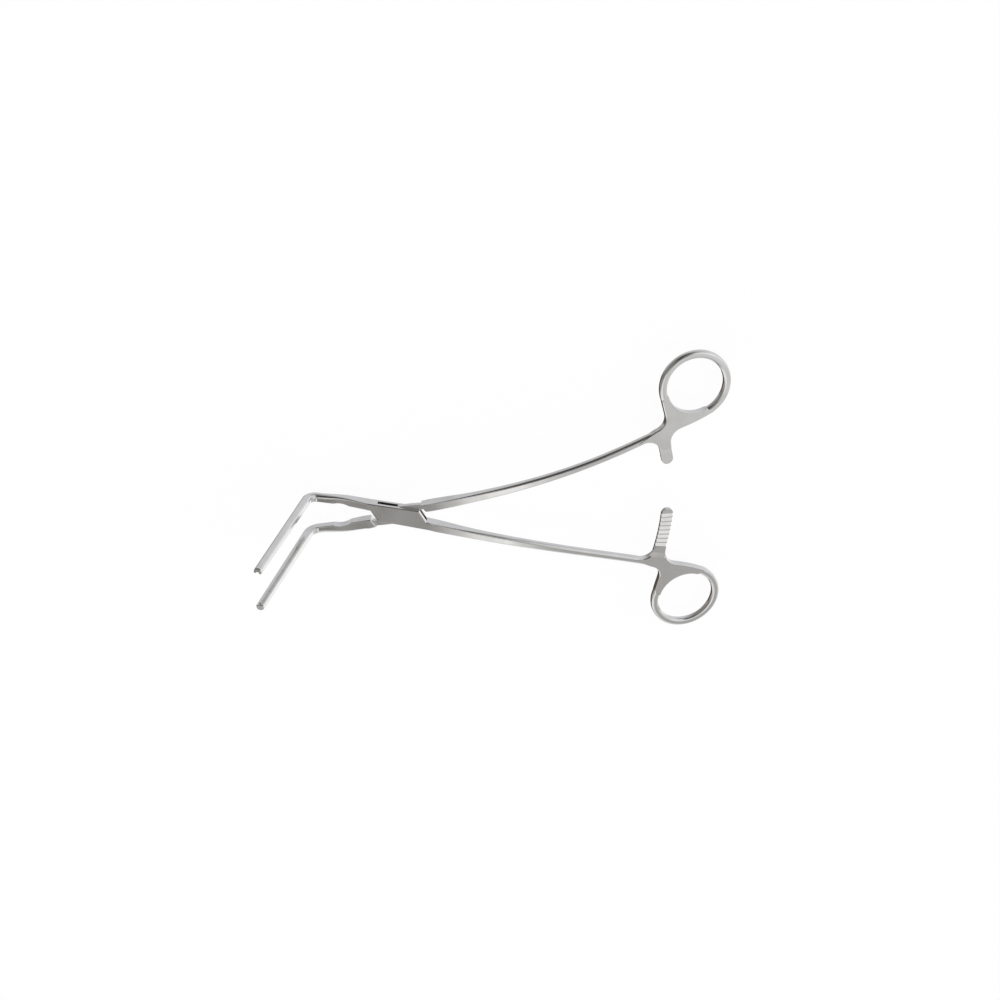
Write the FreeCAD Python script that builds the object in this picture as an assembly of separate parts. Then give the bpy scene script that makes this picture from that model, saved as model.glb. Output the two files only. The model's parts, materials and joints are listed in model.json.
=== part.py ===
import FreeCAD, Part
import math
import os

from FreeCAD import Vector

# Right-angled aortic clamp: two forged halves that cross in a box lock and turn on one riveted pin.
#
# Every length is in millimetres and every angle in degrees. The halves are drawn closed, in the
# frame of the hinge: U runs from the hinge towards the finger rings, V lies in the plane in which
# the clamp opens, and N is the hinge axis, which points to the side that the jaws are bent to.
# Then each half is turned to the open position, and the clamp is laid down as it lies on a table.

# Box lock
lock_thickness = 5.2          # front face to back face, and of both halves beside it
lock_width = 8.9              # across the two cheeks
cheek_corner = 9.0            # hinge to the corner where a cheek's slanted end leaves its long edge
cheek_slant = 38.0            # slope of that end, measured from square
blade_thickness = 1.9         # the tenon's middle web, which passes through the box
blade_play = 0.1              # gap between the blade and each cheek
blade_waist = 0.4             # where the blade's slanted edge leaves its long edge, past the hinge
blade_bite = 1.0              # how far the blade runs into each full-thickness stub
blade_root = 1.75             # from the middle line to the blade's slanted edge at the shoulder
window_end = 10.3             # hinge to the end of the window that the blade passes through
shoulder_corner = 11.1        # hinge to the corner of the tenon's full-thickness shoulder
shoulder_slant = 27.0         # slope of the shoulder, measured from square
edge_break = 0.3              # small bevel along the lock's outer edges
root_length = 15.0            # hinge to where the lock's stubs end and the drawn-out arms begin
stub_overlap = 1.0            # how far an arm or shank starts inside its stub
stub_step = 0.04              # how much slimmer it starts there

# Hinge pin, riveted into both cheeks and ground flush
pin_diameter = 3.2
pin_play = 0.03               # radial running clearance in the blade
rivet_flare = 0.35            # how far each riveted end spreads in its countersink

# Arms between the lock and the bend
box_arm_width = 3.5
tenon_arm_width = 4.6
arm_gap = 0.8                 # middle line to the box half's arm
tenon_arm_gap = 0.4           # middle line to the tenon half's arm
arm_offset = 3.07             # middle line to the middle of an arm where it bends
arm_inside = 1.27             # middle line to the inner side of an arm at its waist
arm_waist = 27.0              # hinge to the middle of the thumb scallop
box_waist_width = 3.85
tenon_waist_width = 4.3
arm_waist_thickness = 4.0
arm_waist_corner = 0.9        # corner radius of the arm's outer side there
arm_length = 41.9             # hinge to the corner of the bend, along the arm
arm_rise = 3.0                # slope of the arm's outer length
rise_start = 20.0             # hinge to where that slope starts
scallop_depth = 0.95
scallop_radius = 8.9

# Bend and jaws
jaw_angle = 78.2              # between the jaw and the arm's line, out of the opening plane
bend_radius = 5.0             # of the middle line
jaw_length = 66.2             # corner of the bend to the jaw's tip
jaw_root_thickness = 3.5      # across the opening plane
jaw_root_depth = 3.9          # along the instrument
jaw_tip_thickness = 2.75
jaw_tip_depth = 3.55
jaw_face_corner = 0.35        # corner radius beside the gripping face
jaw_back_corner = 1.5         # corner radius of the rounded back
jaw_tip_bevel = 0.3
bend_run_in = 2.0             # the arm has reached the jaw's section this far before the bend
jaw_tip_gap = 0.3             # room for the fine teeth between the gripping faces at closed tips
groove_width = 1.5            # in the box half's jaw
groove_depth = 0.9
ridge_foot = 0.5              # how deep groove and ridge tools start under the gripping face
ridge_play = 0.3              # around the tenon half's ridge when it lies in the groove
grip_start = 9.0              # corner of the bend to the foot of groove and ridge
ridge_end = 1.0               # ridge stops short of the tip by this much

# Shanks
shank_width = 3.9             # at the stub
shank_offset = 3.0            # middle line to the shank's middle at the stub
shank_spread = 4.85           # angle at which the shanks leave the lock
shank_flare = 5.9             # how much further apart they bow at the rings
shank_straight = 20.7         # hinge to where the shanks start to curve down
shank_curve = 256.0           # radius of that curve
shank_drop = 18.35            # its whole angle
shank_slim_width = 3.25       # of the slender part
shank_slim_thickness = 3.15
shank_full_thickness = 5.0    # where the drawn-out part leaves the stub
thickness_fade = 17.0         # run over which two thirds of the extra thickness is lost
taper_start = 26.0            # hinge to where the width starts to taper
taper_end = 100.0             # and to where the shank is slender
shank_corner = 0.95           # corner radius of the slender part
shank_steps = 8               # sections drawn between stub and ring

# Finger rings, in the plane of the shank's end
ring_station = 144.2          # hinge to the middle of the ring, along the shank
ring_offset = 37.1            # middle line to the middle of the ring
ring_radius = 15.3            # of the ring's middle line
ring_width = 3.6              # of the ring's bar, from hole to rim
ring_height = 3.3
ring_corner = 1.1

# Webs that carry the rings: places as (along from the ring's middle, out from the middle line)
web_thickness = 3.4
web_bevel = 0.35
web_tail = -31.0              # ring's middle back to where the web leaves the shank's middle
web_back = (-25.0, 17.6)      # long edge between shank and ring, on the hinge side
web_throat = (-20.8, 19.3)
throat_curve = (-17.0, 21.5)
ring_back = (-15.8, 25.7)
ring_side = (-16.6, 33.5)
ring_front = (6.0, 22.9)      # long edge between bar and ring, on the far side
web_nose = (7.5, 21.9)
nose_curve = (-1.0, 19.3)
bar_shoulder = (-9.3, 17.7)
shoulder_curve = (1.5, 15.4)   # this one is measured from the bar's far edge
bar_end = 11.3                # out from the middle line to where the bar's far edge runs straight
bar_stub = 9.0                # and to where the web's own part of the bar stops
heel_curve = (-1.9, 12.9)      # and this one from its near edge
web_heel = (-26.9, 14.6)

# Ratchet
bar_station = 17.6            # middle of the ring to the middle of the bar, back along the shank
bar_width = 5.5
bar_play = 0.2                # between the two bars as they pass
bar_root = 13.6               # middle line to where a bar starts
long_bar_reach = 12.4         # the box half's bar, past the middle line
short_bar_reach = -1.4        # the tenon half's bar stops this side of it
tooth_pitch = 2.35
tooth_depth = 0.8
tooth_clear = 0.3             # how far a tooth's cutter starts outside the bar
tooth_overrun = 1.08          # length of that cutter's slope, in pitches: it leaves a flat crest
long_bar_teeth = 9
short_bar_teeth = 4
tip_pad = 2.6                 # plain end of a bar beyond its last tooth
root_overlap = 0.6            # how far a bar runs on into its web, in degrees about the hinge
relief_back = 14.0            # space left for the other bar, behind this bar's near edge
relief_front = 4.0            # and beyond its far edge
relief_turn = 6.0             # and past its tip, in degrees about the hinge

# Position drawn: how far each half is turned from closed
half_opening = 8.39

table_accuracy = 0.05         # to which the lowest points are found that the clamp lies on
corner_facets = 3             # flats that stand for each rounded corner of a bar's section

ORIGIN = Vector(0, 0, 0)
HINGE_AXIS = Vector(0, 0, 1)
ACROSS = Vector(0, 1, 0)
BOX = 1                       # side of the middle line that the box half's jaw lies on
TENON = -1


def tan(degrees):
    return math.tan(math.radians(degrees))


def sin(degrees):
    return math.sin(math.radians(degrees))


def cos(degrees):
    return math.cos(math.radians(degrees))


def outline(points):
    """Closed wire from straight runs (2-item entries) and arcs (entries with a middle point first)."""
    edges = []
    last = points[0]
    for entry in points[1:]:
        if isinstance(entry, tuple):
            through, end = entry
            edges.append(Part.Arc(last, through, end).toShape())
            last = end
        else:
            edges.append(Part.LineSegment(last, entry).toShape())
            last = entry
    if last.distanceToPoint(points[0]) > 1e-6:
        edges.append(Part.LineSegment(last, points[0]).toShape())
    return Part.Wire(edges)


def slab(plan, bottom, top):
    """Plate between two heights on the hinge axis, from its plan of (u, v) corners."""
    wire = Part.makePolygon([Vector(u, v, bottom) for u, v in plan + plan[:1]])
    return Part.Face(wire).extrude(Vector(0, 0, top - bottom))


def bevel_rims(solid, size, limit):
    """Bevel the long edges of a lock slab, but not those of its cut ends."""
    rims = []
    for edge in solid.Edges:
        box = edge.BoundBox
        flat = box.ZLength < 1e-6
        at_end = box.XLength < 1e-6 and abs(abs(box.XMin) - limit) < 1e-6
        if flat and not at_end:
            rims.append(edge)
    return solid.makeChamfer(size, rims)


def blend(start, end, share):
    return start + (end - start) * share


def rounded_section(centre, across, up, width, height, inner, outer):
    """Rectangle with corners eased by flats: inner is their radius nearer the middle line."""
    points = []
    for a, b, radius in ((1, 1, outer), (-1, 1, inner), (-1, -1, inner), (1, -1, outer)):
        corner = []
        for step in range(corner_facets + 1):
            turn = 90 * step / corner_facets
            out = width / 2 - radius + radius * cos(turn)
            rise = height / 2 - radius + radius * sin(turn)
            corner.append(centre + across * (a * out) + up * (b * rise))
        points += corner if a * b > 0 else reversed(corner)
    return Part.makePolygon(points + points[:1])


# Lock

def cheek_edge(height):
    """Distance from the hinge to the cheek's slanted end, at a height v above the far edge."""
    return cheek_corner + (lock_width / 2 - height) * tan(cheek_slant)


def shoulder_edge(height):
    return shoulder_corner + (lock_width / 2 - height) * tan(shoulder_slant)


def shank_side(station):
    """Middle line to the middle of the shank."""
    start = root_length
    run = station - start
    whole = ring_station - ring_radius - start
    return shank_offset + run * tan(shank_spread) + shank_flare * (run / whole) ** 3


def box_lock():
    """Both cheeks with the stubs of the box half's arm and shank, and the window between them."""
    half = lock_width / 2
    shank_in = shank_offset - shank_width / 2
    shank_out = shank_offset + shank_width / 2
    plan = [
        (cheek_corner, half),
        (-root_length, arm_gap + box_arm_width),
        (-root_length, arm_gap),
        (-cheek_edge(-arm_gap), arm_gap),
        (-cheek_corner, -half),
        (0, -half),
        (root_length, -shank_out),
        (root_length, -shank_in),
        (cheek_edge(-arm_gap), -arm_gap),
    ]
    body = bevel_rims(slab(plan, -lock_thickness / 2, lock_thickness / 2), edge_break, root_length)
    gap = blade_thickness / 2 + blade_play
    reach = 2 * cheek_edge(-arm_gap)
    window = [
        (-window_end, lock_width),
        (-window_end, half),
        (-cheek_edge(-arm_gap), arm_gap),
        (-reach, -arm_gap),
        (-reach, -lock_width),
        (window_end, -lock_width),
        (window_end, -half),
        (cheek_edge(-arm_gap), -arm_gap),
        (reach, arm_gap),
        (reach, lock_width),
    ]
    return body.cut(slab(window, -gap, gap))


def tenon_lock():
    """Two full-thickness stubs joined by the thin blade."""
    half = lock_width / 2
    shank_in = shank_offset - shank_width / 2
    shank_out = shank_offset + shank_width / 2
    ring_side = [
        (shoulder_corner, half),
        (shoulder_edge(shank_in), shank_in),
        (root_length, shank_in),
        (root_length, shank_out),
    ]
    jaw_side = [
        (-shoulder_corner, -half),
        (-shoulder_edge(tenon_arm_gap), -tenon_arm_gap),
        (-root_length, -tenon_arm_gap),
        (-root_length, -tenon_arm_gap - tenon_arm_width),
    ]
    top = lock_thickness / 2
    stubs = [bevel_rims(slab(plan, -top, top), edge_break, root_length) for plan in (ring_side, jaw_side)]
    inset = half - edge_break
    knee = shoulder_edge(blade_root) - blade_root
    blade = [
        (blade_waist, half),
        (-knee, -blade_root),
        (-shoulder_edge(blade_root) - blade_bite, -blade_root),
        (-shoulder_edge(inset) - blade_bite, -inset),
        (-shoulder_corner, -half),
        (-blade_waist, -half),
        (knee, blade_root),
        (shoulder_edge(blade_root) + blade_bite, blade_root),
        (shoulder_edge(inset) + blade_bite, inset),
        (shoulder_corner, half),
    ]
    web = slab(blade, -blade_thickness / 2, blade_thickness / 2)
    return web.fuse(stubs)


def pin_body(play):
    """The pin, or with play the hole that it runs in."""
    radius = pin_diameter / 2 + play
    top = lock_thickness / 2
    return Part.makeCylinder(radius, lock_thickness, Vector(0, 0, -top), HINGE_AXIS)


def riveted_pin():
    """Pin with both ends spread into the cheeks' countersinks."""
    top = lock_thickness / 2
    radius = pin_diameter / 2
    profile = [
        Vector(0, 0, -top),
        Vector(radius + rivet_flare, 0, -top),
        Vector(radius, 0, rivet_flare - top),
        Vector(radius, 0, top - rivet_flare),
        Vector(radius + rivet_flare, 0, top),
        Vector(0, 0, top),
    ]
    return Part.Face(outline(profile)).revolve(ORIGIN, HINGE_AXIS, 360)


# Arms and jaws

def arm_point(station, side, offset):
    height = max(0.0, station - rise_start) * tan(arm_rise)
    return Vector(-station, side * offset, height)


def arm_section(station, side, offset, width, height, corner, back_corner, slope):
    across = Vector(0, side, 0)
    up = Vector(sin(slope), 0, cos(slope))
    centre = arm_point(station, side, offset)
    return rounded_section(centre, across, up, width, height, corner, back_corner)


def arm_and_jaw(side, gap, width, waist_width, grooved):
    """One arm with its bend and jaw, on the given side of the middle line."""
    root = gap + width / 2
    waist = arm_inside + waist_width / 2
    turn = jaw_angle - arm_rise
    tangent = bend_radius * tan(turn / 2)
    bend_at = arm_length * cos(arm_rise) - tangent * cos(arm_rise)
    slim = 2 * stub_step
    face = jaw_face_corner
    back = jaw_back_corner
    drawn = (rise_start - root_length) / (arm_waist - root_length)
    stations = [
        (root_length - stub_overlap, root, width - slim, lock_thickness - slim, edge_break, 0.0),
        (rise_start, blend(root, waist, drawn), blend(width, waist_width, drawn),
         blend(lock_thickness, arm_waist_thickness, drawn), blend(edge_break, arm_waist_corner, drawn), 0.0),
        (arm_waist, waist, waist_width, arm_waist_thickness, arm_waist_corner, arm_rise),
        (bend_at - bend_run_in, arm_offset, jaw_root_thickness, jaw_root_depth, back, arm_rise),
        (bend_at, arm_offset, jaw_root_thickness, jaw_root_depth, back, arm_rise),
    ]
    wires = [arm_section(s, side, o, w, h, face, c, a) for s, o, w, h, c, a in stations]
    arm = Part.makeLoft(wires, True, False)
    scallop_middle = side * (arm_inside + scallop_depth - scallop_radius)
    scallop = Part.makeCylinder(scallop_radius, 4 * lock_thickness,
                                Vector(-arm_waist, scallop_middle, -2 * lock_thickness), HINGE_AXIS)
    arm = arm.cut(scallop)

    start = arm_point(bend_at, side, arm_offset)
    up = Vector(sin(arm_rise), 0, cos(arm_rise))
    pivot = start + up * bend_radius
    bend = Part.Face(wires[-1]).revolve(pivot, ACROSS, turn)

    along = Vector(-cos(jaw_angle), 0, sin(jaw_angle))
    inside = Vector(sin(jaw_angle), 0, cos(jaw_angle))
    foot = pivot - inside * bend_radius
    length = jaw_length - tangent
    tip_offset = (jaw_tip_gap + jaw_tip_thickness) / 2
    lean = side * (tip_offset - arm_offset)
    tip = foot + along * length + Vector(0, lean, 0)
    across = Vector(0, side, 0)
    foot_wire = rounded_section(foot, across, inside, jaw_root_thickness, jaw_root_depth,
                                jaw_face_corner, jaw_back_corner)
    tip_wire = rounded_section(tip, across, inside, jaw_tip_thickness, jaw_tip_depth,
                               jaw_face_corner, jaw_back_corner)
    jaw = Part.makeLoft([foot_wire, tip_wire], True, True)
    end_edges = [edge for edge in jaw.Edges
                 if all((vertex.Point - tip).dot(along) > -1e-3 for vertex in edge.Vertexes)]
    jaw = jaw.makeChamfer(jaw_tip_bevel, end_edges)

    # The gripping face leans from the jaw's foot to its tip.
    face_foot = foot - across * (jaw_root_thickness / 2)
    face_tip = tip - across * (jaw_tip_thickness / 2)
    face_line = (face_tip - face_foot).normalize()
    face_out = face_line.cross(inside).normalize() * -side
    from_foot = grip_start - tangent
    whole = (face_tip - face_foot).Length
    if grooved:
        jaw = jaw.cut(grip_bar(face_foot, face_line, inside, face_out * -1, from_foot,
                               whole + 2 * jaw_tip_bevel, groove_width, groove_depth, ridge_foot))
    else:
        ridge = grip_bar(face_foot, face_line, inside, face_out, from_foot + ridge_play,
                         whole - ridge_end, groove_width - 2 * ridge_play,
                         jaw_tip_gap + groove_depth - ridge_play, ridge_foot)
        jaw = jaw.fuse(ridge)
    return arm.fuse([bend, jaw])


def grip_bar(origin, along, sideways, out, start, end, width, height, sink):
    """Straight bar on a gripping face, from start to end along it, with its foot sunk into the jaw."""
    a = origin + along * start - sideways * (width / 2) - out * sink
    face = outline([a, a + sideways * width, a + sideways * width + along * (end - start),
                    a + along * (end - start)])
    return Part.Face(face).extrude(out * (height + sink))


# Shanks and rings

def shank_point(station, side):
    """Point on the shank's middle line, which is straight, then an arc, then straight again."""
    run = max(0.0, station - shank_straight)
    arc = math.radians(shank_drop) * shank_curve
    bent = min(run, arc)
    slope = math.degrees(bent / shank_curve)
    past = run - bent
    u = min(station, shank_straight) + shank_curve * sin(slope) + past * cos(slope)
    n = -shank_curve * (1 - cos(slope)) - past * sin(slope)
    return Vector(u, side * shank_side(station), n), slope


def shank_size(station):
    """Width, thickness and corner radius of the shank."""
    run = min(1.0, max(0.0, (station - taper_start) / (taper_end - taper_start)))
    width = blend(shank_width, shank_slim_width, run * run * (3 - 2 * run))
    extra = math.exp((shank_straight - station) / thickness_fade)
    thickness = blend(shank_slim_thickness, shank_full_thickness, extra)
    return width, thickness, blend(shank_corner, edge_break, extra)


def shank(side):
    slim = 2 * stub_step
    end = ring_station - bar_station - bar_width / 2
    start = root_length - stub_overlap
    sections = [(start, shank_width - slim, lock_thickness - slim, edge_break)]
    for step in range(shank_steps + 1):
        station = blend(shank_straight, end, step / shank_steps)
        sections.append((station,) + shank_size(station))
    wires = []
    for station, width, height, corner in sections:
        centre, slope = shank_point(station, side)
        up = Vector(sin(slope), 0, cos(slope))
        wires.append(rounded_section(centre, Vector(0, side, 0), up, width, height, corner, corner))
    return Part.makeLoft(wires, True, False)


def ring_frame(side):
    """The plane of the ring: its level on the middle line, then the directions along, out and up."""
    centre, slope = shank_point(ring_station, side)
    along = Vector(cos(slope), 0, -sin(slope))
    up = Vector(sin(slope), 0, cos(slope))
    return Vector(centre.x, 0, centre.z), along, Vector(0, side, 0), up


def web_and_ring(side):
    base, along, across, up = ring_frame(side)
    low = -web_thickness / 2

    def at(place, height=low):
        return base + along * place[0] + across * place[1] + up * height

    middle = (0, ring_offset)
    section = rounded_section(at((ring_radius, ring_offset), 0), along, up, ring_width, ring_height,
                              ring_corner, ring_corner)
    ring = Part.Face(section).revolve(at(middle, 0), up, 360)
    near = -bar_station - bar_width / 2
    far = -bar_station + bar_width / 2
    tail = (web_tail, shank_side(ring_station + web_tail))
    points = [
        at(tail),
        at(web_back),
        at(web_throat),
        (at(throat_curve), at(ring_back)),
        at(ring_side),
        at((-ring_radius, ring_offset)),
        at(ring_front),
        at(web_nose),
        (at(nose_curve), at(bar_shoulder)),
        (at((far + shoulder_curve[0], shoulder_curve[1])), at((far, bar_end))),
        at((far, bar_stub)),
        at((near, bar_stub)),
        (at((near + heel_curve[0], heel_curve[1])), at(web_heel)),
    ]
    web = Part.Face(outline(points)).extrude(up * web_thickness)
    rims = [edge for edge in web.Edges
            if all(abs(abs((vertex.Point - base).dot(up)) - web_thickness / 2) < 1e-4
                   for vertex in edge.Vertexes)]
    web = web.makeChamfer(web_bevel, rims)
    hole = Part.makeCylinder(ring_radius - ring_width / 2, 2 * web_thickness,
                             at(middle, -web_thickness), up)
    return web.cut(hole), ring


def turned_bar(side, inner, outer, low, high, first, last):
    """Bar bent round the hinge axis, given along, up and by its angles from the middle line."""
    base, along, across, up = ring_frame(side)
    corners = [(inner, low), (outer, low), (outer, high), (inner, high)]
    section = Part.Face(outline([base + along * e + up * k for e, k in corners]))
    section.rotate(ORIGIN, HINGE_AXIS, side * first)
    return section.revolve(ORIGIN, HINGE_AXIS, side * (last - first))


def ratchet(side, reach, teeth, upward):
    """Toothed bar that crosses the other half's bar, and the space that it leaves free in its own web.

    upward is 1 for the bar behind the other one, with teeth that face along the hinge axis.
    """
    base, along, across, up = ring_frame(side)
    radius = base.x - bar_station * along.x
    inner = -bar_station - bar_width / 2
    outer = -bar_station + bar_width / 2
    face = -upward * bar_play / 2
    back = -upward * web_thickness / 2
    root_angle = math.degrees(math.asin(bar_root / radius))
    end_angle = -math.degrees((reach - bar_width / 2) / radius)
    bar = turned_bar(side, inner, outer, min(face, back), max(face, back), end_angle,
                     root_angle + root_overlap)
    far = upward * 2 * web_thickness
    relief = turned_bar(side, inner - relief_back, outer + relief_front, min(face, far), max(face, far),
                        end_angle - relief_turn, root_angle)
    middle = base - along * bar_station
    pad = Part.makeCylinder(bar_width / 2, abs(back - face), middle + up * min(face, back), up)
    pad.rotate(ORIGIN, HINGE_AXIS, side * end_angle)
    bar = bar.fuse(pad)
    pitch = math.degrees(tooth_pitch / radius)
    first = -math.degrees((reach - tip_pad) / radius)
    start = middle - along * bar_width + up * face
    clear = up * (upward * tooth_clear)
    tooth = outline([start + clear, start - up * (upward * tooth_depth),
                     start + across * (tooth_pitch * tooth_overrun) + clear])
    notch = Part.Face(tooth).extrude(along * (2 * bar_width))
    notches = []
    for index in range(teeth):
        cutter = notch.copy()
        cutter.rotate(ORIGIN, HINGE_AXIS, side * (first + index * pitch))
        notches.append(cutter)
    return bar.cut(notches), relief


def handle(side, reach, teeth, upward):
    web, ring = web_and_ring(side)
    bar, relief = ratchet(side, reach, teeth, upward)
    return shank(side).fuse([web.cut(relief), ring, bar])


# The three pieces, closed

def box_half():
    arm = arm_and_jaw(BOX, arm_gap, box_arm_width, box_waist_width, True)
    grip = handle(-BOX, long_bar_reach, long_bar_teeth, 1)
    whole = box_lock().fuse([arm, grip])
    return whole.cut(riveted_pin())


def tenon_half():
    arm = arm_and_jaw(TENON, tenon_arm_gap, tenon_arm_width, tenon_waist_width, False)
    grip = handle(-TENON, short_bar_reach, short_bar_teeth, -1)
    whole = tenon_lock().fuse([arm, grip])
    return whole.cut(pin_body(pin_play))


def lowest(points, tilt):
    return min(point.x * sin(tilt) + point.z * cos(tilt) for point in points)


def resting_tilt(shapes):
    """Tilt about the V axis at which the bends and the finger rings both touch the table."""
    points = []
    for shape in shapes:
        points += shape.tessellate(table_accuracy)[0]
    jaws = [point for point in points if point.x < 0]
    rings = [point for point in points if point.x > root_length]
    low, high = 0.0, 30.0
    while high - low > 1e-9:
        middle = (low + high) / 2
        if lowest(rings, middle) < lowest(jaws, middle):
            low = middle
        else:
            high = middle
    return (low + high) / 2


box = box_half()
tenon = tenon_half()
pin = riveted_pin()
for turned in (box, pin):
    turned.rotate(ORIGIN, HINGE_AXIS, -half_opening)
tenon.rotate(ORIGIN, HINGE_AXIS, half_opening)

tilt = resting_tilt([box, tenon])
for piece in (box, tenon, pin):
    piece.rotate(ORIGIN, ACROSS, -tilt)
bounds = Part.Compound([box, tenon]).optimalBoundingBox(False)
drop = Vector(-(bounds.XMin + bounds.XMax) / 2, -(bounds.YMin + bounds.YMax) / 2, -bounds.ZMin)

os.makedirs("parts", exist_ok=True)
for name, piece in (("box_half", box), ("tenon_half", tenon), ("hinge_pin", pin)):
    piece.translate(drop)
    piece.exportStep("parts/" + name + ".step")
    print(name, "solids", len(piece.Solids), "valid", piece.isValid(), "volume", round(piece.Volume, 1))
print("tilt", round(tilt, 4), "size", round(bounds.XLength, 2), round(bounds.YLength, 2),
      round(bounds.ZLength, 2))
print("hinge at", [round(value, 4) for value in drop], "axis", round(-sin(tilt), 6), round(cos(tilt), 6))
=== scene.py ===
# %% [markdown]
# # A right-angled vascular clamp in surgical steel
#
# The clamp comes ready made as three solids: the half with the box lock, the half whose thin
# blade passes through it, and the riveted pin. This lesson gives them their steel, adds the fine
# gripping teeth that are too small for the solids, and lights the clamp as a catalogue would.

# %% Load the frame
import json
import math

import bpy
from mathutils import Matrix, Vector
from mathutils.bvhtree import BVHTree


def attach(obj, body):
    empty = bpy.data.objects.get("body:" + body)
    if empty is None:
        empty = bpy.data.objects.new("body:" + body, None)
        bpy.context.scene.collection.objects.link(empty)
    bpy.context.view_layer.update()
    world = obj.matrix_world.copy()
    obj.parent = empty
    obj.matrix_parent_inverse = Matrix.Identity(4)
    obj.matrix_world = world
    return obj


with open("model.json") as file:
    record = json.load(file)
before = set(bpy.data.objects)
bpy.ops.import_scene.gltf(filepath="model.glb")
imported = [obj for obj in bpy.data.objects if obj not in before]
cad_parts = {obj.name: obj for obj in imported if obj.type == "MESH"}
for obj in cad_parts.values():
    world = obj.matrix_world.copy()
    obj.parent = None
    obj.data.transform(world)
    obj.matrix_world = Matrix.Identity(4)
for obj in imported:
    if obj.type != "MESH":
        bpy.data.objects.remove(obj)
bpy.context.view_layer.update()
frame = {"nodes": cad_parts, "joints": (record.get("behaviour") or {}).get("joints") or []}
print("solids", sorted(frame["nodes"]))

# %% [markdown]
# ## Directions of the clamp
#
# The clamp lies on its bends and finger rings, so its hinge leans a little. It is easier to place
# things along the clamp's own directions: U from the hinge towards the rings, V across, in which
# the halves open, and N along the hinge, towards the side that the jaws are bent to. They follow
# from the joint, so they stay right if the solids change.

# %% Directions and a helper for places
MM = 0.001
hinge = frame["joints"][0]
HINGE = Vector(hinge["pos_m"])
N = Vector(hinge["axis"]).normalized()
V = Vector((0, 1, 0))
U = V.cross(N)


def place(u, v, n):
    """Point in the scene from millimetres along U, V and N, counted from the hinge."""
    return HINGE + (U * u + V * v + N * n) * MM


print("hinge at", [round(c / MM, 2) for c in HINGE], "mm")
print("leaning", round(math.degrees(math.acos(N.z)), 2), "degrees")

# %% [markdown]
# ## Colours and nodes
#
# Colours are written as the usual hex values and turned to linear light once. One helper adds a
# node, sets its values and links its inputs, so that each material reads as a list of steps.

# %% Colour and node helpers
def linear(hex_colour):
    """Linear RGBA from an sRGB hex value such as 8F8C86."""
    channels = []
    for start in (0, 2, 4):
        value = int(hex_colour[start:start + 2], 16) / 255
        channels.append(value / 12.92 if value <= 0.04045 else ((value + 0.055) / 1.055) ** 2.4)
    return (*channels, 1.0)


def add_node(tree, kind, settings=None, inputs=None):
    """New node of a kind, with its settings. Its inputs are plain values, or sockets to link."""
    node = tree.nodes.new(kind)
    for name, value in (settings or {}).items():
        setattr(node, name, value)
    for name, value in (inputs or {}).items():
        if isinstance(value, bpy.types.NodeSocket):
            tree.links.new(value, node.inputs[name])
        else:
            node.inputs[name].default_value = value
    return node


def new_material(name):
    """Empty node material and its tree."""
    material = bpy.data.materials.new(name)
    material.use_nodes = True
    material.node_tree.nodes.clear()
    return material, material.node_tree


print("mid grey", [round(c, 3) for c in linear("8F8C86")[:3]])

# %% [markdown]
# ## Satin surgical steel
#
# Such clamps are forged from martensitic stainless steel, ground, bead blasted and lightly
# brushed to a satin that doesn't dazzle under theatre lamps. The eye reads that as a soft grey
# mirror with broad highlights, a fine grain, and faint cloudy patches where the blasting was
# heavier. The faces of the lock keep more of the matte than the drawn-out shanks and the jaws,
# which were polished round afterwards. A noise that changes the roughness could do all of that,
# but the real change comes at a place, some 30 mm from the hinge. So the roughness follows the
# distance from the hinge, read from Object coordinates, and the noise only breaks it up.

# %% Sizes and values of the steel
LOCK_FINISH = 26 * MM          # hinge to where the matte of the lock starts to give way
SHANK_FINISH = 34 * MM         # and to where the polish is reached
LOCK_ROUGHNESS = 0.28
SHANK_ROUGHNESS = 0.18
ROUGHNESS_DRIFT = 0.03         # how far the clouds push the roughness either way
PALE_STEEL = "D3D2D0"
DARK_STEEL = "CBCAC7"          # in the clouds
CLOUD_SIZE = 8 * MM            # patches of heavier blasting
BLAST_GRAIN = 0.25 * MM        # really about 0.05 mm, drawn coarser so that it shows
BRUSH_PITCH = 0.6 * MM         # between brush lines, really about 0.1 mm, also drawn coarser
BRUSH_RUN = 12 * MM            # how long a brush line is
RELIEF = 0.03 * MM             # height of grain and brush lines at full strength
GRAIN_STRENGTH = 0.02
BRUSH_STRENGTH = 0.05
print("matte within", round(LOCK_FINISH / MM), "mm, polished beyond", round(SHANK_FINISH / MM))

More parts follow.
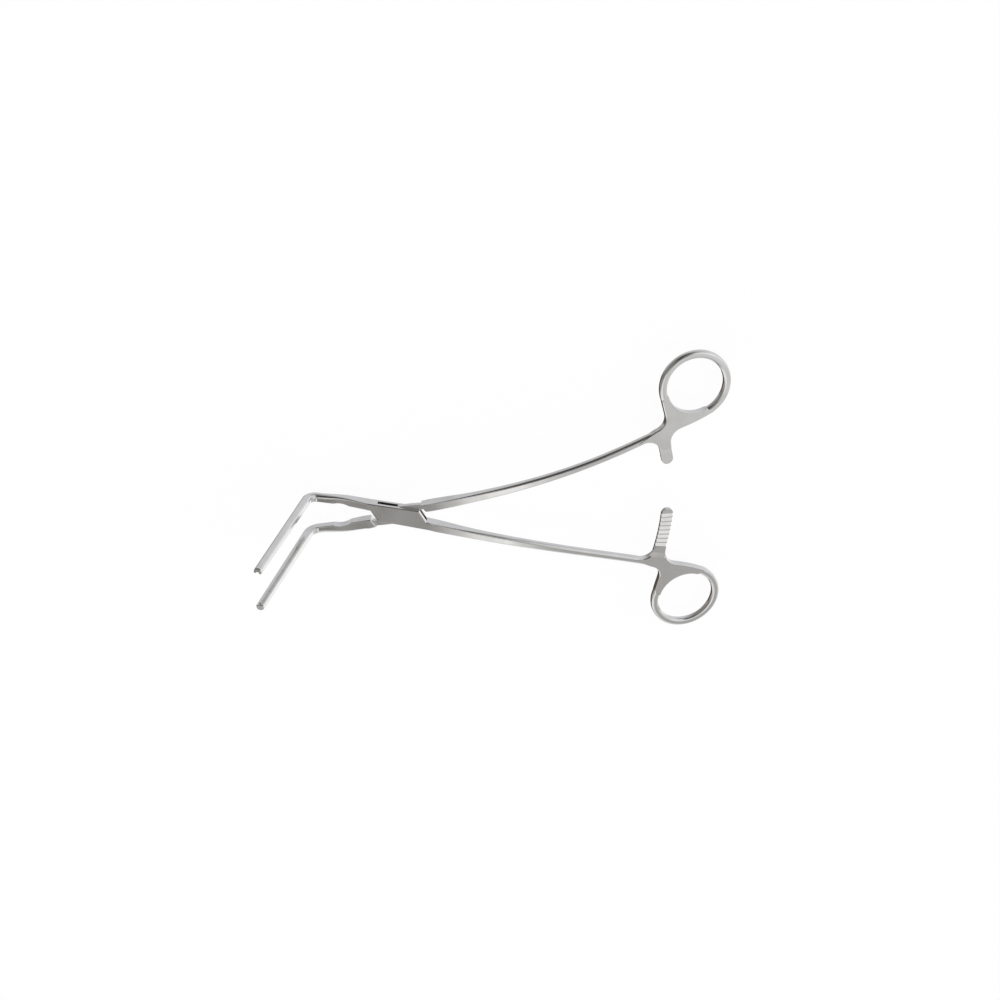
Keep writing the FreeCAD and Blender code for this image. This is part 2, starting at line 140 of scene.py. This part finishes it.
# %% Satin steel
def satin_steel(name, matte, polished):
    """Blasted and brushed metal, with one roughness round the hinge and another beyond."""
    material, tree = new_material(name)
    here = add_node(tree, "ShaderNodeTexCoord").outputs["Object"]
    grain = add_node(tree, "ShaderNodeTexNoise", None,
                     {"Vector": here, "Scale": 1 / BLAST_GRAIN, "Detail": 2})
    clouds = add_node(tree, "ShaderNodeTexNoise", None,
                      {"Vector": here, "Scale": 1 / CLOUD_SIZE, "Detail": 4})
    stretch = (1 / BRUSH_RUN, 1 / BRUSH_PITCH, 1 / BRUSH_PITCH)
    stretched = add_node(tree, "ShaderNodeMapping", None, {"Vector": here, "Scale": stretch})
    lines = add_node(tree, "ShaderNodeTexNoise", None,
                     {"Vector": stretched.outputs["Vector"], "Scale": 1, "Detail": 3})

    # Noise stays near 0.5, so its middle part is spread over the whole change of colour.
    patch = add_node(tree, "ShaderNodeMapRange", None,
                     {"Value": clouds.outputs["Fac"], "From Min": 0.35, "From Max": 0.65})
    tone = add_node(tree, "ShaderNodeMix", {"data_type": "RGBA"}, {0: patch.outputs["Result"]})
    tone.inputs[6].default_value = linear(PALE_STEEL)
    tone.inputs[7].default_value = linear(DARK_STEEL)

    away = add_node(tree, "ShaderNodeVectorMath", {"operation": "DISTANCE"}, {0: here, 1: HINGE})
    finish = add_node(tree, "ShaderNodeMapRange", {"interpolation_type": "SMOOTHSTEP"},
                      {"Value": away.outputs["Value"],
                       "From Min": LOCK_FINISH, "From Max": SHANK_FINISH,
                       "To Min": matte, "To Max": polished})
    uneven = add_node(tree, "ShaderNodeMapRange", None,
                      {"Value": clouds.outputs["Fac"], "From Min": 0.3, "From Max": 0.7,
                       "To Min": -ROUGHNESS_DRIFT, "To Max": ROUGHNESS_DRIFT})
    rough = add_node(tree, "ShaderNodeMath", {"operation": "ADD"},
                     {0: finish.outputs["Result"], 1: uneven.outputs["Result"]})

    blasted = add_node(tree, "ShaderNodeBump", None,
                       {"Strength": GRAIN_STRENGTH, "Distance": RELIEF,
                        "Height": grain.outputs["Fac"]})
    brushed = add_node(tree, "ShaderNodeBump", None,
                       {"Strength": BRUSH_STRENGTH, "Distance": RELIEF,
                        "Height": lines.outputs["Fac"], "Normal": blasted.outputs["Normal"]})
    shader = add_node(tree, "ShaderNodeBsdfPrincipled", None,
                      {"Base Color": tone.outputs[2], "Metallic": 1.0,
                       "Roughness": rough.outputs[0], "Normal": brushed.outputs["Normal"]})
    add_node(tree, "ShaderNodeOutputMaterial", None, {"Surface": shader.outputs["BSDF"]})
    return material


halves_steel = satin_steel("satin surgical steel", LOCK_ROUGHNESS, SHANK_ROUGHNESS)
pin_steel = satin_steel("pin steel ground with the lock", LOCK_ROUGHNESS, LOCK_ROUGHNESS)
STEELS = {"box_half": halves_steel, "tenon_half": halves_steel, "hinge_pin": pin_steel}
for name, material in STEELS.items():
    for slot in frame["nodes"][name].material_slots:
        slot.material = material
    print(name, "has", material.name)

# %% [markdown]
# ## Gripping teeth
#
# The jaws must hold an artery without crushing it, so they have rows of fine, low teeth: one on
# each land beside the groove, and one on the ridge that enters it. They could be a bump texture,
# but solid teeth catch the light at their own edges and show in the jaw's outline. The rows run
# straight along the jaws. Rather than typing where the gripping faces are, a ray from the middle
# of the gap finds each row's two ends on the solid, so the teeth stay on it if it changes.

# %% Where the rows run
HALF_OPENING = 8.39            # how far each half is turned from closed, in degrees
BEND = 41.9                    # hinge to the corner of the bend, along the clamp, in mm
BEND_RISE = 2.2                # how far the arms have risen there
JAW_ANGLE = math.radians(78.2)     # between the jaws and the clamp's length
ROW_START = 12.0               # corner of the bend to the first tooth
ROW_END = 64.4                 # and to the last one
LAND = 1.12                    # middle of the jaw to the middle of a land beside the groove

along_jaw = N * math.sin(JAW_ANGLE) - U * math.cos(JAW_ANGLE)
through_jaw = U * math.sin(JAW_ANGLE) + N * math.cos(JAW_ANGLE)


def opened(vector, side):
    """Direction of the closed clamp, turned with the half whose jaw lies on this side."""
    return Matrix.Rotation(math.radians(-HALF_OPENING * side), 3, N) @ vector


def on_grip(node_name, side, distance, sideways):
    """Point of a gripping face, seen from the middle of the gap. side is that of its jaw."""
    mesh = frame["nodes"][node_name].data
    points = [vertex.co for vertex in mesh.vertices]
    faces = BVHTree.FromPolygons(points, [polygon.vertices for polygon in mesh.polygons])
    bend = N * BEND_RISE - U * BEND
    spot = bend + along_jaw * distance + through_jaw * sideways
    return faces.ray_cast(HINGE + opened(spot * MM, side), opened(V * side, side))[0]


rows = {}
for name, side, offsets in (("box_half", 1, (-LAND, LAND)), ("tenon_half", -1, (0,))):
    rows[name] = [[on_grip(name, side, distance, offset) for distance in (ROW_START, ROW_END)]
                  for offset in offsets]
    for start, end in rows[name]:
        print(name, "row of", round((end - start).length / MM, 1), "mm, from y",
              round(start.y / MM, 2), "to", round(end.y / MM, 2))

# %% [markdown]
# ## One tree for every row
#
# What repeats at an even pitch is a job for Geometry Nodes. Each row is an edge of a guide mesh,
# and the tree puts one four-sided tooth on every pitch of it. A cone of four sides is a pyramid,
# and one with a small flat on top is what a file or a knurling wheel leaves.

# %% The tree that sets teeth along a row
TOOTH_PITCH = 0.7 * MM
TOOTH_LENGTH = 0.6 * MM
TOOTH_WIDTH = 0.5 * MM
TOOTH_HEIGHT = 0.13 * MM
TOOTH_FOOT = 0.05 * MM         # how deep a tooth's foot sits in the jaw
CREST = 0.12                   # radius of the flat on top, as a share of the tooth's length

GIVEN = {"Rows": "Geometry", "Pitch": "Float", "Length": "Float", "Width": "Float",
         "Height": "Float", "Turn": "Vector", "Steel": "Material"}


def teeth_tree():
    """Node group: one small pyramid on each pitch along every edge of a guide mesh."""
    tree = bpy.data.node_groups.new("rows of teeth", "GeometryNodeTree")
    for name, kind in GIVEN.items():
        tree.interface.new_socket(name, in_out="INPUT", socket_type="NodeSocket" + kind)
    tree.interface.new_socket("Teeth", in_out="OUTPUT", socket_type="NodeSocketGeometry")
    given = add_node(tree, "NodeGroupInput").outputs
    curve = add_node(tree, "GeometryNodeMeshToCurve", None, {"Mesh": given["Rows"]})
    points = add_node(tree, "GeometryNodeCurveToPoints", {"mode": "LENGTH"},
                      {"Curve": curve.outputs["Curve"], "Length": given["Pitch"]})
    # The pyramid's foot is a square of side one, once it is turned by an eighth of a circle.
    pyramid = add_node(tree, "GeometryNodeMeshCone", None,
                       {"Vertices": 4, "Radius Top": CREST, "Radius Bottom": math.sqrt(0.5),
                        "Depth": 1.0})
    squared = add_node(tree, "GeometryNodeTransform", None,
                       {"Geometry": pyramid.outputs["Mesh"], "Rotation": (0, 0, math.pi / 4)})
    size = add_node(tree, "ShaderNodeCombineXYZ", None,
                    {"X": given["Length"], "Y": given["Width"], "Z": given["Height"]})
    tooth = add_node(tree, "GeometryNodeTransform", None,
                     {"Geometry": squared.outputs["Geometry"], "Scale": size.outputs["Vector"]})
    turn = add_node(tree, "FunctionNodeEulerToRotation", None, {"Euler": given["Turn"]})
    placed = add_node(tree, "GeometryNodeInstanceOnPoints", None,
                      {"Points": points.outputs["Points"], "Instance": tooth.outputs["Geometry"],
                       "Rotation": turn.outputs["Rotation"]})
    real = add_node(tree, "GeometryNodeRealizeInstances", None,
                    {"Geometry": placed.outputs["Instances"]})
    coated = add_node(tree, "GeometryNodeSetMaterial", None,
                      {"Geometry": real.outputs["Geometry"], "Material": given["Steel"]})
    add_node(tree, "NodeGroupOutput", None, {"Teeth": coated.outputs["Geometry"]})
    return tree


rows_of_teeth = teeth_tree()
print("tree of", len(rows_of_teeth.nodes), "nodes")

# %% [markdown]
# ## Cutting the rows
#
# The teeth move with their jaw, and an exported part has no modifiers. So the tree runs once on
# a guide of bare edges, its result is kept as a plain mesh, and the guide is thrown away. Each
# mesh then rides on the body of its half.

# %% Cut the rows
def cut_teeth(name, guides, outward):
    """Plain mesh of teeth along the guides. outward points away from the gripping face."""
    direction = (guides[0][1] - guides[0][0]).normalized()
    outward = (outward - direction * outward.dot(direction)).normalized()
    turn = Matrix((direction, outward.cross(direction), outward)).transposed().to_euler()
    middle = outward * (TOOTH_HEIGHT / 2 - TOOTH_FOOT / 2)
    ends = [point + middle for pair in guides for point in pair]
    guide = bpy.data.meshes.new(name + " guide")
    guide.from_pydata(ends, [(i, i + 1) for i in range(0, len(ends), 2)], [])
    base = bpy.data.objects.new(name + " guide", guide)
    bpy.context.collection.objects.link(base)
    setter = base.modifiers.new("teeth", "NODES")
    setter.node_group = rows_of_teeth
    values = {"Pitch": TOOTH_PITCH, "Length": TOOTH_LENGTH, "Width": TOOTH_WIDTH,
              "Height": TOOTH_HEIGHT + TOOTH_FOOT, "Turn": tuple(turn), "Steel": halves_steel}
    for item in rows_of_teeth.interface.items_tree:
        if item.in_out == "INPUT" and item.name in values:
            setter[item.identifier] = values[item.name]
    ready = base.evaluated_get(bpy.context.evaluated_depsgraph_get())
    mesh = bpy.data.meshes.new_from_object(ready)
    mesh.name = name
    bpy.data.objects.remove(base)
    teeth = bpy.data.objects.new(name, mesh)
    bpy.context.collection.objects.link(teeth)
    return teeth


for name, side, body in (("box_half", 1, "box_side"), ("tenon_half", -1, "tenon_side")):
    teeth = cut_teeth(name.split("_")[0] + "_jaw_teeth", rows[name], opened(-V * side, side))
    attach(teeth, body)
    print(teeth.name, len(teeth.data.polygons), "faces, first point",
          [round(c, 4) for c in teeth.data.vertices[0].co])

# %% [markdown]
# ## Floor
#
# The clamp lies above a white sheet that the camera sees as pure white, though the sheet still
# catches a faint shadow. The hinge leans, so the turning half dips as the clamp opens, and the
# sheet lies just under the lowest point that it reaches. It lets mirrored rays through to the
# tent below, as the glass table of a photographer's tent does.

# %% Floor
FLOOR_SIZE = 4.0
FLOOR_GAP = 0.1 * MM           # under the lowest point of the whole motion
SHADOW_SHARE = 0.12            # how much of the sheet's own shading the camera sees
PAPER_LEVEL = 1.05             # brightness of the rest, so that both together come out white


def lowest(node_name, degrees):
    """Height of a solid's lowest point once it is turned about the hinge."""
    turned = Matrix.Rotation(math.radians(degrees), 3, N)
    points = frame["nodes"][node_name].data.vertices
    return min((HINGE + turned @ (point.co - HINGE)).z for point in points)


reached = [lowest("tenon_half", degrees) for degrees in (0, *hinge["range_deg"])]
print("the turning half reaches down to", [round(z / MM, 2) for z in reached], "mm")

floor_place = (0, 0, min(reached) - FLOOR_GAP)
bpy.ops.mesh.primitive_plane_add(size=FLOOR_SIZE, location=floor_place)
floor = bpy.context.object
floor.name = "floor"
paper, tree = new_material("white paper")
path = add_node(tree, "ShaderNodeLightPath").outputs
share = add_node(tree, "ShaderNodeMath", {"operation": "MULTIPLY"},
                 {0: path["Is Camera Ray"], 1: 1 - SHADOW_SHARE})
sheet = add_node(tree, "ShaderNodeBsdfDiffuse", None, {"Color": linear("FAFAFA")})
white = add_node(tree, "ShaderNodeEmission", None,
                 {"Color": linear("FFFFFF"), "Strength": PAPER_LEVEL})
both = add_node(tree, "ShaderNodeMixShader", None,
                {0: share.outputs[0], 1: sheet.outputs["BSDF"], 2: white.outputs["Emission"]})
clear = add_node(tree, "ShaderNodeBsdfTransparent")
whole = add_node(tree, "ShaderNodeMixShader", None,
                 {0: path["Is Glossy Ray"], 1: both.outputs["Shader"], 2: clear.outputs["BSDF"]})
add_node(tree, "ShaderNodeOutputMaterial", None, {"Surface": whole.outputs["Shader"]})
floor.data.materials.append(paper)

# %% [markdown]
# ## Room
#
# Polished steel has no colour of its own: it shows what is around it, so the room matters more
# than the lamps. A photographer hangs a light tent round such a piece and then pins cards to its
# walls, each where one set of faces looks. Here the flat faces of the lock look at grey cards,
# the eased edges of the upper shank look straight up at two dark ones and get their thin dark
# line, the jaws look at the bright wall beyond the rings, and the wall beyond the jaws is
# darker, to draw the hidden side of every round bar. Area lamps could stand in for the cards,
# but a world of round cards has soft edges, costs no lamp and adds no noise.

# %% Helpers for the tent
TENT_LEVEL = 1.35              # brightness of a white wall

world = bpy.data.worlds.new("light tent")
bpy.context.scene.world = world
world.use_nodes = True
tree = world.node_tree
tree.nodes.clear()
direction = add_node(tree, "ShaderNodeTexCoord").outputs["Generated"]


def towards(u, v, n):
    """Direction in the scene from its parts along U, V and N."""
    return U * u + V * v + N * n


def card(below, middle, reach, edge, colour):
    """Round card over what lies below it. It is full up to reach, and gone at edge, in degrees."""
    facing = add_node(tree, "ShaderNodeVectorMath", {"operation": "DOT_PRODUCT"},
                      {0: direction, 1: middle.normalized()})
    cover = add_node(tree, "ShaderNodeMapRange", {"interpolation_type": "SMOOTHSTEP"},
                     {"Value": facing.outputs["Value"],
                      "From Min": math.cos(math.radians(edge)),
                      "From Max": math.cos(math.radians(reach))})
    mixed = add_node(tree, "ShaderNodeMix", {"data_type": "RGBA"}, {0: cover.outputs["Result"]})
    if isinstance(below, str):
        mixed.inputs[6].default_value = linear(below)
    else:
        tree.links.new(below, mixed.inputs[6])
    mixed.inputs[7].default_value = linear(colour)
    return mixed.outputs[2]


print("straight ahead of the rings is", [round(c, 3) for c in towards(1, 0, 0)])

# %% Walls and cards
WALLS = "DEDFE3"
CARDS = (
    # towards, reach, edge, colour
    (towards(-0.05, 0.50, -0.86), 20, 50, "D2D3D8"),   # table's glass, under the side faces
    (towards(-0.74, 0.61, 0.27), 42, 82, "807E7B"),    # wall beyond the jaws
    (towards(0.22, 0.96, -0.15), 14, 38, "979696"),    # foot of the far wall
    (towards(0.75, -0.60, 0.25), 22, 38, "C6C6C8"),    # near wall beyond the rings
    (towards(0.72, -0.35, -0.60), 18, 34, "FFFFFF"),   # lit paper under the glass there
    (towards(-0.60, -0.50, -0.62), 22, 36, "544D47"),  # dark foot of the near wall
    (towards(-0.02, 0.84, 0.54), 14, 23, "383635"),    # for the bevels of the lock
    (towards(0.30, 0.80, 0.52), 8, 15, "4A4846"),      # for the bevel of the lower shank
    (towards(0.66, 0.12, 0.74), 8, 17, "EFEFF2"),      # lamp side, for the ratchet's ramps
    (towards(0.17, -0.50, 0.85), 7, 16, "FFFFFF"),     # gap between two cards, for the shanks
    (towards(0.42, -0.60, 0.68), 8, 18, "A8A7A6"),     # for the webs
    (towards(-0.46, -0.50, 0.73), 10, 18, "7E7B78"),   # for the lock
    (towards(-0.24, -0.50, 0.83), 14, 19, "726F6B"),   # and the arms
    (towards(0.19, 0.06, 0.98), 6, 13, "5F5E5D"),      # two dark cards straight above,
    (towards(0.38, 0.06, 0.92), 6, 13, "5F5E5D"),      # for the upper shank's line
)
seen = WALLS
for middle, reach, edge, colour in CARDS:
    seen = card(seen, middle, reach, edge, colour)
shown = add_node(tree, "ShaderNodeMix", {"data_type": "RGBA"},
                 {0: add_node(tree, "ShaderNodeLightPath").outputs["Is Camera Ray"]})
tree.links.new(seen, shown.inputs[6])
shown.inputs[7].default_value = linear("FFFFFF")
tent = add_node(tree, "ShaderNodeBackground", None,
                {"Color": shown.outputs[2], "Strength": TENT_LEVEL})
add_node(tree, "ShaderNodeOutputWorld", None, {"Surface": tent.outputs["Background"]})
print(len(CARDS), "cards in a tent of", len(tree.nodes), "nodes")

# %% [markdown]
# ## Lamps
#
# The tent gives nearly all the light, and light from everywhere casts no shadow. Two large, weak
# lamps on the near side give the clamp a direction: one beyond the rings, and one before the
# jaws. Stronger ones would wash out the faces that turn towards them.

# %% Lamps
LAMP_AIM = place(45, 0, 0)     # about the middle of the clamp


def soft_lamp(name, where, size, watts):
    """Square lamp that faces the middle of the clamp, with its side in metres."""
    lamp = bpy.data.lights.new(name, "AREA")
    lamp.size = size
    lamp.energy = watts
    holder = bpy.data.objects.new(name, lamp)
    bpy.context.collection.objects.link(holder)
    aim = (LAMP_AIM - where).to_track_quat("-Z", "Y").to_matrix().to_4x4()
    holder.matrix_world = Matrix.Translation(where) @ aim
    print(name, "stands", round((LAMP_AIM - where).length, 2), "m away")


soft_lamp("lamp beyond the rings", place(1050, -330, 420), 1.0, 0.4)
soft_lamp("lamp before the jaws", place(-650, -850, 550), 0.8, 0.6)

# %% [markdown]
# ## Camera
#
# The photograph looks down on the clamp from beyond its upper half, about a metre away, and its
# top edge is the V direction. The camera stands there and aims at a point beside the lock.

# %% Camera
CAMERA_PLACE = (98.6, 518.4, 836.7)     # along U, V and N from the hinge, in millimetres
AIM = (46.61, 9.02, 0.0)
ROLL = math.radians(0.227)              # by which the picture's base leans from U
FRAME_WIDTH = 36                        # in millimetres, as is the focal length
FOCAL_LENGTH = 77.33
FARTHEST = 20                           # metres that the camera sees

camera = bpy.data.cameras.new("camera")
camera.lens = FOCAL_LENGTH
camera.sensor_width = FRAME_WIDTH
camera.clip_end = FARTHEST
camera_object = bpy.data.objects.new("camera", camera)
bpy.context.collection.objects.link(camera_object)
back = (place(*CAMERA_PLACE) - place(*AIM)).normalized()
upwards = (V - back * V.dot(back)).normalized()
right = upwards.cross(back)
picture_right = right * math.cos(ROLL) - upwards * math.sin(ROLL)
picture_up = upwards * math.cos(ROLL) + right * math.sin(ROLL)
axes = Matrix((picture_right, picture_up, back)).transposed().to_4x4()
camera_object.matrix_world = Matrix.Translation(place(*CAMERA_PLACE)) @ axes
bpy.context.scene.camera = camera_object
bpy.context.scene.view_settings.view_transform = "Standard"
print("camera", [round(c, 3) for c in camera_object.location])
